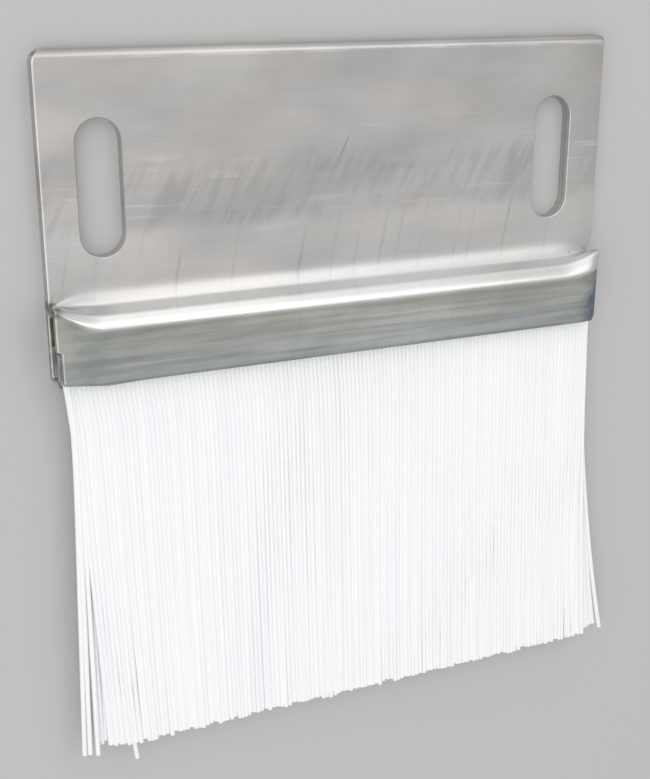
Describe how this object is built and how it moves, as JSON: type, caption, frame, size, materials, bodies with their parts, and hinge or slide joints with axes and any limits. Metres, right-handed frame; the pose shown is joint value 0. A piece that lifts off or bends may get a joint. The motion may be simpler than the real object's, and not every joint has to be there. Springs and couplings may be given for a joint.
{
  "type": "brush seal strip",
  "caption": "Short strip seal: a folded steel holder with slotted screw holes grips a row of straight white nylon bristles.",
  "frame": {"origin": "midway between the two slots, on the rear face of the flange", "axes": "X along the strip, +Y from the bristle tips to the folded edge, +Z out of the front face; the strip lies on its back"},
  "size_m": [0.1065, 0.1187, 0.0066],
  "materials": {
    "holder_steel": "satin, lightly scratched",
    "channel_steel": "satin",
    "wire_steel": "drawn wire",
    "nylon": "white, translucent"
  },
  "bodies": {
    "root": {"folded_holder": "holder_steel", "brush_channel": "channel_steel", "core_wire": "wire_steel", "filament_core": "nylon", "front_filaments": "nylon", "rear_filaments": "nylon"}
  },
  "joints": []
}
